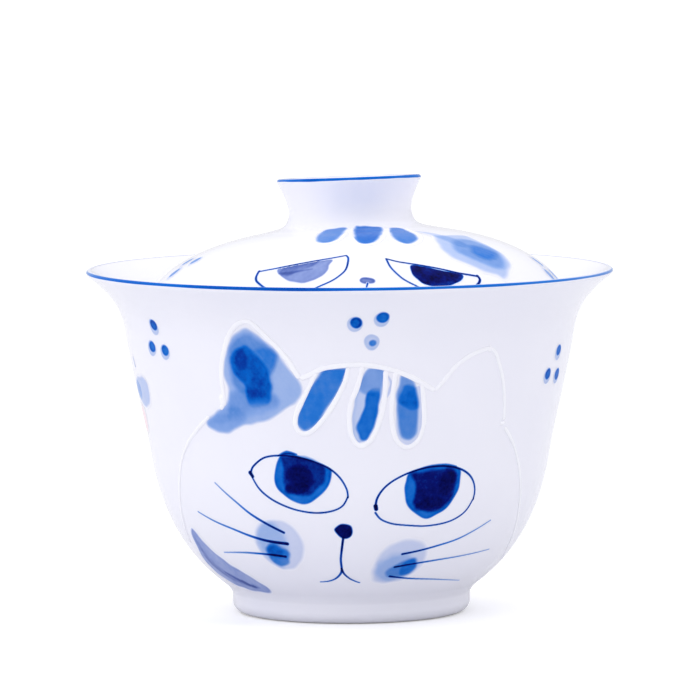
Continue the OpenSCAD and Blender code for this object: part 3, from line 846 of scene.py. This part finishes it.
BOWL_SLIP = (
    # left cheek, then left ear
    ([(-70, 14.5), (-66.5, 18.2), (-62.7, 22.9), (-58.8, 28), (-55.8, 31.5), (-51.5, 34.7), (-46.5, 37.4),
      (-41, 40.2)], 0.8),
    ([(-36.8, 41.6), (-35.2, 43.3), (-35.0, 46.4), (-34.5, 49.8), (-33, 53.2), (-31, 56), (-28.3, 57.9),
      (-25.3, 58.6), (-23.2, 57.6), (-20.8, 55.6), (-17.8, 53.4), (-15.6, 51.3), (-14, 49.3),
      (-12.9, 48)], 1.0),
    ([(-35.4, 42.2), (-35.5, 43.8), (-35.6, 44.6)], 1.35),
    # top of the head
    ([(-12.9, 48), (-10.2, 48.8), (-7.1, 49.9), (-2.3, 50.5), (2.2, 50.7), (6.8, 50.3), (11.6, 49.4),
      (15.9, 48.1), (18.9, 46.9), (22.4, 45.4)], 1.0),
    # right ear, then right cheek
    ([(22.4, 45.4), (24.7, 47.3), (27.5, 49.7), (31.3, 51.6), (34.8, 52.5), (37.5, 52.8), (39.6, 51.8),
      (41.6, 49.2), (43.6, 46), (45.2, 42.3), (46.0, 38.8)], 0.85),
    ([(36.8, 52.8), (38.2, 52.8)], 1.4),
    ([(45.5, 38.7), (45.8, 38.0)], 2.2),
    ([(46.8, 37.5), (50.5, 35.1), (53.9, 32.3), (56.8, 29.2), (59.2, 25.9), (62.5, 21.4), (66.3, 17),
      (70, 13.4), (76, 10.4)], 0.8),
    # outlines of the three stripes
    ([(-8.6, 49.2), (-11.2, 45.6), (-14.2, 41.6), (-14.8, 39.2), (-13.3, 37.7), (-10.4, 38.1), (-6.8, 40.7),
      (-3.8, 43.9), (-1.4, 47.4), (-0.4, 50.2)], 0.95),
    ([(3.2, 50.4), (1.8, 46.5), (0.2, 43.5), (-0.3, 40), (0.4, 37), (2.7, 35.3), (5.8, 36.7), (7.9, 40.4),
      (8.9, 44.6), (9.0, 49.6)], 1.0),
    ([(11.6, 49.3), (11.0, 45.2), (10.9, 40.6), (12.3, 36.6), (15.4, 34.9), (18.6, 36.1), (19.9, 39),
      (19.6, 42.6), (18.6, 47)], 0.95),
)


# --- the painting on the lid
def paint_lid_stripes(skin, paint):
    one = area([(-6.4, -20.8), (-5.8, -17), (-4.6, -14), (-2.8, -13.6), (-0.8, -13.8), (-1.4, -16.8),
        (-2.2, -20.8), (-3.6, -23.6), (-5.6, -23.8)], 0.50, 1.0, seed=101)
    two = area([(0.8, -13.8), (2, -13.2), (4, -13), (5.8, -13.4), (5.6, -18.4), (5, -22), (4.2, -24.6),
        (2.6, -25.6), (1.4, -24.6), (0.8, -21.2)], 0.66, 1.0, seed=102)
    three = area([(7.4, -13.4), (9.4, -12.6), (11, -15.8), (12.2, -19), (12, -22.2), (10.8, -24.4),
        (9.6, -24.2), (8.2, -22.2), (7.6, -18.2)], 0.54, 1.0, seed=103)
    film("lid_stripes", skin, (-8, 14), (-27, -11.6), [one, two, three],
        paint, step=WASH_STEP, cloud=0.06, seed=31)


def paint_lid_drop(skin, paint):
    drop = area([(15.6, -17.4), (16.6, -16.4), (19.8, -12.8), (21.8, -11.6), (24, -14), (26.8, -15.8),
        (28.2, -16.8), (29.2, -18.8), (29.4, -20.8), (28.4, -25.6), (26.8, -26), (24.6, -27.2),
        (22.2, -27.4), (19.6, -27.2), (18, -26.2), (16.6, -23.8)], 0.17, 1.4, seed=111)
    middle = area([(19.4, -17.8), (21.8, -15), (24.2, -15.4), (27, -16.8), (28.4, -20), (28.2, -22.6),
        (26.4, -24.4), (24, -25), (21.4, -24.8), (19.2, -23.2)], 0.24, 1.8, seed=112)
    dark = area([(22.2, -19.8), (23.2, -18), (25.2, -17.8), (27.2, -18.2), (26, -22.2), (24.8, -23),
        (22.8, -22.4)], 0.34, 1.8, seed=113)
    neck = stroke([(12.6, -14.6), (15.2, -15.6), (18, -17.6), (20.4, -19.6)], (0.8, 2.0, 3.2, 3.2),
        0.14, 1.4)
    film("lid_drop", skin, (11, 30.8), (-28.5, -10.8), [drop, middle, dark, neck],
        paint, step=WASH_STEP, cloud=0.06, seed=32)


def paint_lid_irises(skin, paint):
    """The left iris in a pale grey wash, partly its own grey pigment and partly a painted highlight for the
    glaze's glare on it, and the nose, painted before the lines round them.
    """
    # Low, greyed pigment: partly the iris's own wash, partly a painted highlight of the glare on the glaze.
    iris = [
        area([(-13.8, -32.2), (-13.6, -31.2), (-12, -31.4), (-8.6, -31.6), (-3.8, -31.6), (-4.2, -33.4),
            (-4.6, -34.8), (-6.4, -36), (-9, -36.2), (-11.4, -35.2), (-12.8, -33.8)],
            0.42, 0.35, edge=0.05, seed=121),
        area([(-13.4, -32.4), (-12, -31.4), (-8.6, -31.6), (-6, -31.6), (-7, -32.6), (-9, -33.2),
            (-12, -33.8)], 0.34, 0.7, seed=122),
        stroke([(-13.4, -32.6), (-11.6, -33.2), (-10, -33.4), (-7.4, -33.6)], (0.4, 0.7, 0.6, 0.3),
            0.35, 0.5),
    ]
    film("lid_iris_left", skin, (-15, -2.6), (-37.4, -30.2), iris, paint, seed=33, lift=0.6 * FILM_LIFT)
    nose = [spot((2.8, -37.2), (1.4, 0.6), 0.55, 0.3, edge=0.1, seed=128)]
    film("lid_nose", skin, (0.8, 4.8), (-38.8, -36), nose, paint, seed=35, lift=0.6 * FILM_LIFT)


def paint_lid_eyes(skin, paint):
    left = [
        stroke([(-17, -30.2), (-13.6, -31), (-9, -31.4), (-4.2, -31.2), (-1, -30.6)],
            (0.34, 0.4, 0.42, 0.4), 0.88, 0.14),
        stroke([(-0.9, -30.7), (-0.6, -31.8), (-1, -34.4), (-2, -35.8), (-4, -37), (-7.4, -37.8)],
            (0.36, 0.3), 0.86, 0.14),
        stroke([(-17.2, -30), (-17.8, -31.4), (-17.4, -32.8), (-15.4, -35.2), (-12, -37.2), (-7.4, -37.8)],
            (0.5, 0.34, 0.3), 0.86, 0.14),
    ]
    film("lid_eye_left", skin, (-18.8, 1), (-38.4, -29), left, paint, seed=33)
    right = [
        area([(11, -32.6), (11, -34.6), (12.2, -35.6), (13.4, -36), (15.8, -35.6), (17.6, -34.6),
            (19.4, -33.2), (20.4, -31.6), (20.2, -31), (18.2, -31.6), (16.2, -32), (13.6, -32.2)],
            0.90, 0.25, seed=125),
        area([(11.8, -32.6), (12.2, -34.4), (15.4, -35), (18.4, -33.2), (19.6, -31.4), (16, -32.2)],
            0.5, 0.8, seed=126),
        stroke([(6.4, -31.6), (9, -32.2), (13.6, -32), (17.8, -31.4), (20.2, -30.8), (23, -29.6)],
            (0.34, 0.42, 0.44, 0.5), 0.9, 0.14),
        stroke([(6.4, -31.6), (7, -33.6), (8, -35), (9.6, -36.2), (12.2, -36.8), (15, -36.9)], (0.34, 0.3),
            0.86, 0.14),
        stroke([(23.2, -29.4), (23.6, -30), (23, -31.4), (21, -33.8), (18.4, -35.8), (15, -36.9)],
            (0.6, 0.4, 0.3), 0.90, 0.14),
    ]
    film("lid_eye_right", skin, (5.4, 25), (-38.2, -28.4), right, paint, seed=34)
    line = [stroke([(2.8, -37.7), (2.6, -38.3)], (0.34, 0.3), 0.8, 0.14)]
    film("lid_nose_line", skin, (2, 3.4), (-38.8, -37.2), line, paint, seed=37)


def paint_lid_dots(skin, paint):
    """Dot clusters round the lid; those at the sides show as short dashes, the back ones are a guess."""
    places = (("left", ((-33.4, -10.2), (-29.4, -11.4), (-31, -7.6)), 0.6),
              ("right", ((35, -6.8), (37.2, -9.4), (38.2, -5.4)), 0.5),
              ("back_left", ((-23.9, 24.8), (-20.1, 23.2), (-21.1, 26.6)), 1.0),
              ("back_right", ((16.1, 27.8), (19.9, 26.2), (18.9, 29.6)), 1.0))
    for number, (name, dots, strength) in enumerate(places):
        layers = []
        for k, (x, y) in enumerate(dots):
            layers.append(spot((x, y), (1.5, 1.5), 0.13 * strength, 0.3, edge=0.03, seed=k))
            layers.append(spot((x, y + 0.2), (1.1, 1.0), 0.55 * strength, 0.35, edge=0.06, seed=k + 3))
        xs, ys = np.array(dots).T
        film("lid_dots_" + name, skin, reach(xs, 2), reach(ys, 2), layers, paint,
             seed=36 + number)


LID_SLIP = (
    ([(-5.2, -13.8), (-6.6, -17), (-7.2, -20.8), (-6.4, -24), (-4.4, -24.8), (-2.2, -23), (-1.2, -19.6),
      (-0.4, -15)], 0.85),
    ([(0.2, -14), (0, -18), (0.2, -22), (1, -25.2), (2.6, -26.4), (4.6, -25.6), (5.8, -22.6), (6.4, -18.4),
      (6.5, -14)], 0.85),
    ([(6.8, -13.8), (6.9, -18.4), (7.5, -22.6), (9.2, -25), (11.2, -25.2), (12.8, -22.6), (13, -18.8),
      (11.8, -15.6), (10.2, -12.8)], 0.85),
)


# --- stage, light and camera
def make_floor():
    along = np.linspace(-FLOOR_HALF, FLOOR_HALF, FLOOR_N)
    x, y = np.meshgrid(along, along, indexing="ij")
    verts = np.stack([x.ravel(), y.ravel(), np.zeros(x.size)], 1)
    mesh = bpy.data.meshes.new("floor")
    mesh.from_pydata(verts.tolist(), [], grid_faces(FLOOR_N, FLOOR_N).tolist())
    floor = new_object("floor", mesh)
    floor.data.materials.append(floor_material())


def sky_lobe(tree, direction, start, full):
    """How much a direction of the sky lies towards another: 0 before start, 1 from full, by cosine."""
    where = tree.nodes.new("ShaderNodeTexCoord")
    dot = tree.nodes.new("ShaderNodeVectorMath")
    dot.operation = "DOT_PRODUCT"
    dot.inputs[1].default_value = Vector(direction).normalized()
    tree.links.new(where.outputs["Generated"], dot.inputs[0])
    span = tree.nodes.new("ShaderNodeMapRange")
    span.interpolation_type = "SMOOTHSTEP"
    span.inputs["From Min"].default_value = start
    span.inputs["From Max"].default_value = full
    tree.links.new(dot.outputs["Value"], span.inputs["Value"])
    return span.outputs["Result"]


def make_sky():
    """Soft light from all round: brighter above and at the left, darker at the front right and behind."""
    world = bpy.data.worlds.new("tent")
    world.use_nodes = True
    bpy.context.scene.world = world
    tree = world.node_tree
    lobes = (((-0.80, -0.35, 0.40), 0.2, 1.0, 0.16),
             ((0.0, 0.0, 1.0), 0.1, 0.9, 0.40),
             ((0.55, -0.80, -0.05), 0.40, 1.0, -0.33),
             ((0.0, 1.0, 0.0), 0.2, 0.9, -0.20))
    total = None
    for direction, start, full, gain in lobes:
        scaled = tree.nodes.new("ShaderNodeMath")
        scaled.operation = "MULTIPLY_ADD"
        scaled.inputs[1].default_value = gain
        scaled.inputs[2].default_value = SKY_LEVEL
        tree.links.new(sky_lobe(tree, direction, start, full), scaled.inputs[0])
        if total is not None:
            tree.links.new(total, scaled.inputs[2])
        total = scaled.outputs[0]
    seen = tree.nodes.new("ShaderNodeLightPath")
    pick = tree.nodes.new("ShaderNodeMix")
    pick.data_type = "FLOAT"
    tree.links.new(seen.outputs["Is Camera Ray"], pick.inputs[0])
    tree.links.new(total, pick.inputs[2])
    pick.inputs[3].default_value = SKY_SEEN
    tree.links.new(pick.outputs[0], tree.nodes["Background"].inputs["Strength"])
    tree.nodes["Background"].inputs["Color"].default_value = (1.0, 1.0, 1.0, 1.0)


def make_camera():
    data = bpy.data.cameras.new("camera")
    data.lens = CAMERA_LENS
    data.sensor_width = 36.0
    data.clip_end = 50.0
    camera = new_object("camera", data)
    camera.matrix_world = (Matrix.Translation(CAMERA_AT)
                           @ Matrix.Rotation(math.radians(90 - CAMERA_PITCH), 4, "X")
                           @ Matrix.Rotation(math.radians(-CAMERA_ROLL), 4, "Z"))
    bpy.context.scene.camera = camera
    bpy.context.scene.view_settings.view_transform = "Standard"


# --- all of it
def main():
    glaze, paint, slip = porcelain_material(), paint_material("cobalt_pigment", PIGMENT_RAMP), slip_material()
    blush = paint_material("blush_pigment", BLUSH_RAMP)
    muted = paint_material("muted_pigment", MUTED_RAMP)
    bowl = bowl_profile()
    lid = lid_profile(bowl["inside"])
    make_bowl(bowl, glaze, biscuit_material())
    make_lid(lid, glaze)
    # Both lip lines carry painted sheen: paler pigment at their left and right sides.
    lip_line("bowl_lip_line", bowl["lip"], LIP_T / 2, "bowl", paint, "bowl_rim_line", -120)
    lip_line("knob_lip_line", lid["lip"], KNOB_LIP_T / 2, "lid", paint, "knob_rim_line", -60,
             lid["seat"], seed=2, sides=0.3)

    bowl_skin = BowlSkin(bowl["outside"])
    lid_skin = LidSkin(join(lid["fillet"][:-1], lid["dome"]), lid["seat"])
    ridges("bowl_slip", bowl_skin, BOWL_SLIP, BOWL_SLIP_H, slip, "bowl_slip_lines")
    ridges("lid_slip", lid_skin, LID_SLIP, LID_SLIP_H, slip, "lid_slip_lines")
    for brush in (paint_dots, paint_ear, paint_stripes, paint_eye_left, paint_eye_right, paint_nose,
                  paint_cheek_left, paint_cheek_right):
        brush(bowl_skin, paint)
    paint_tail(bowl_skin, muted)
    paint_left_side(bowl_skin, paint, blush)
    paint_lid_irises(lid_skin, muted)
    for brush in (paint_lid_stripes, paint_lid_drop, paint_lid_eyes, paint_lid_dots):
        brush(lid_skin, paint)

    make_floor()
    make_sky()
    make_camera()


main()
bpy.context.view_layer.update()
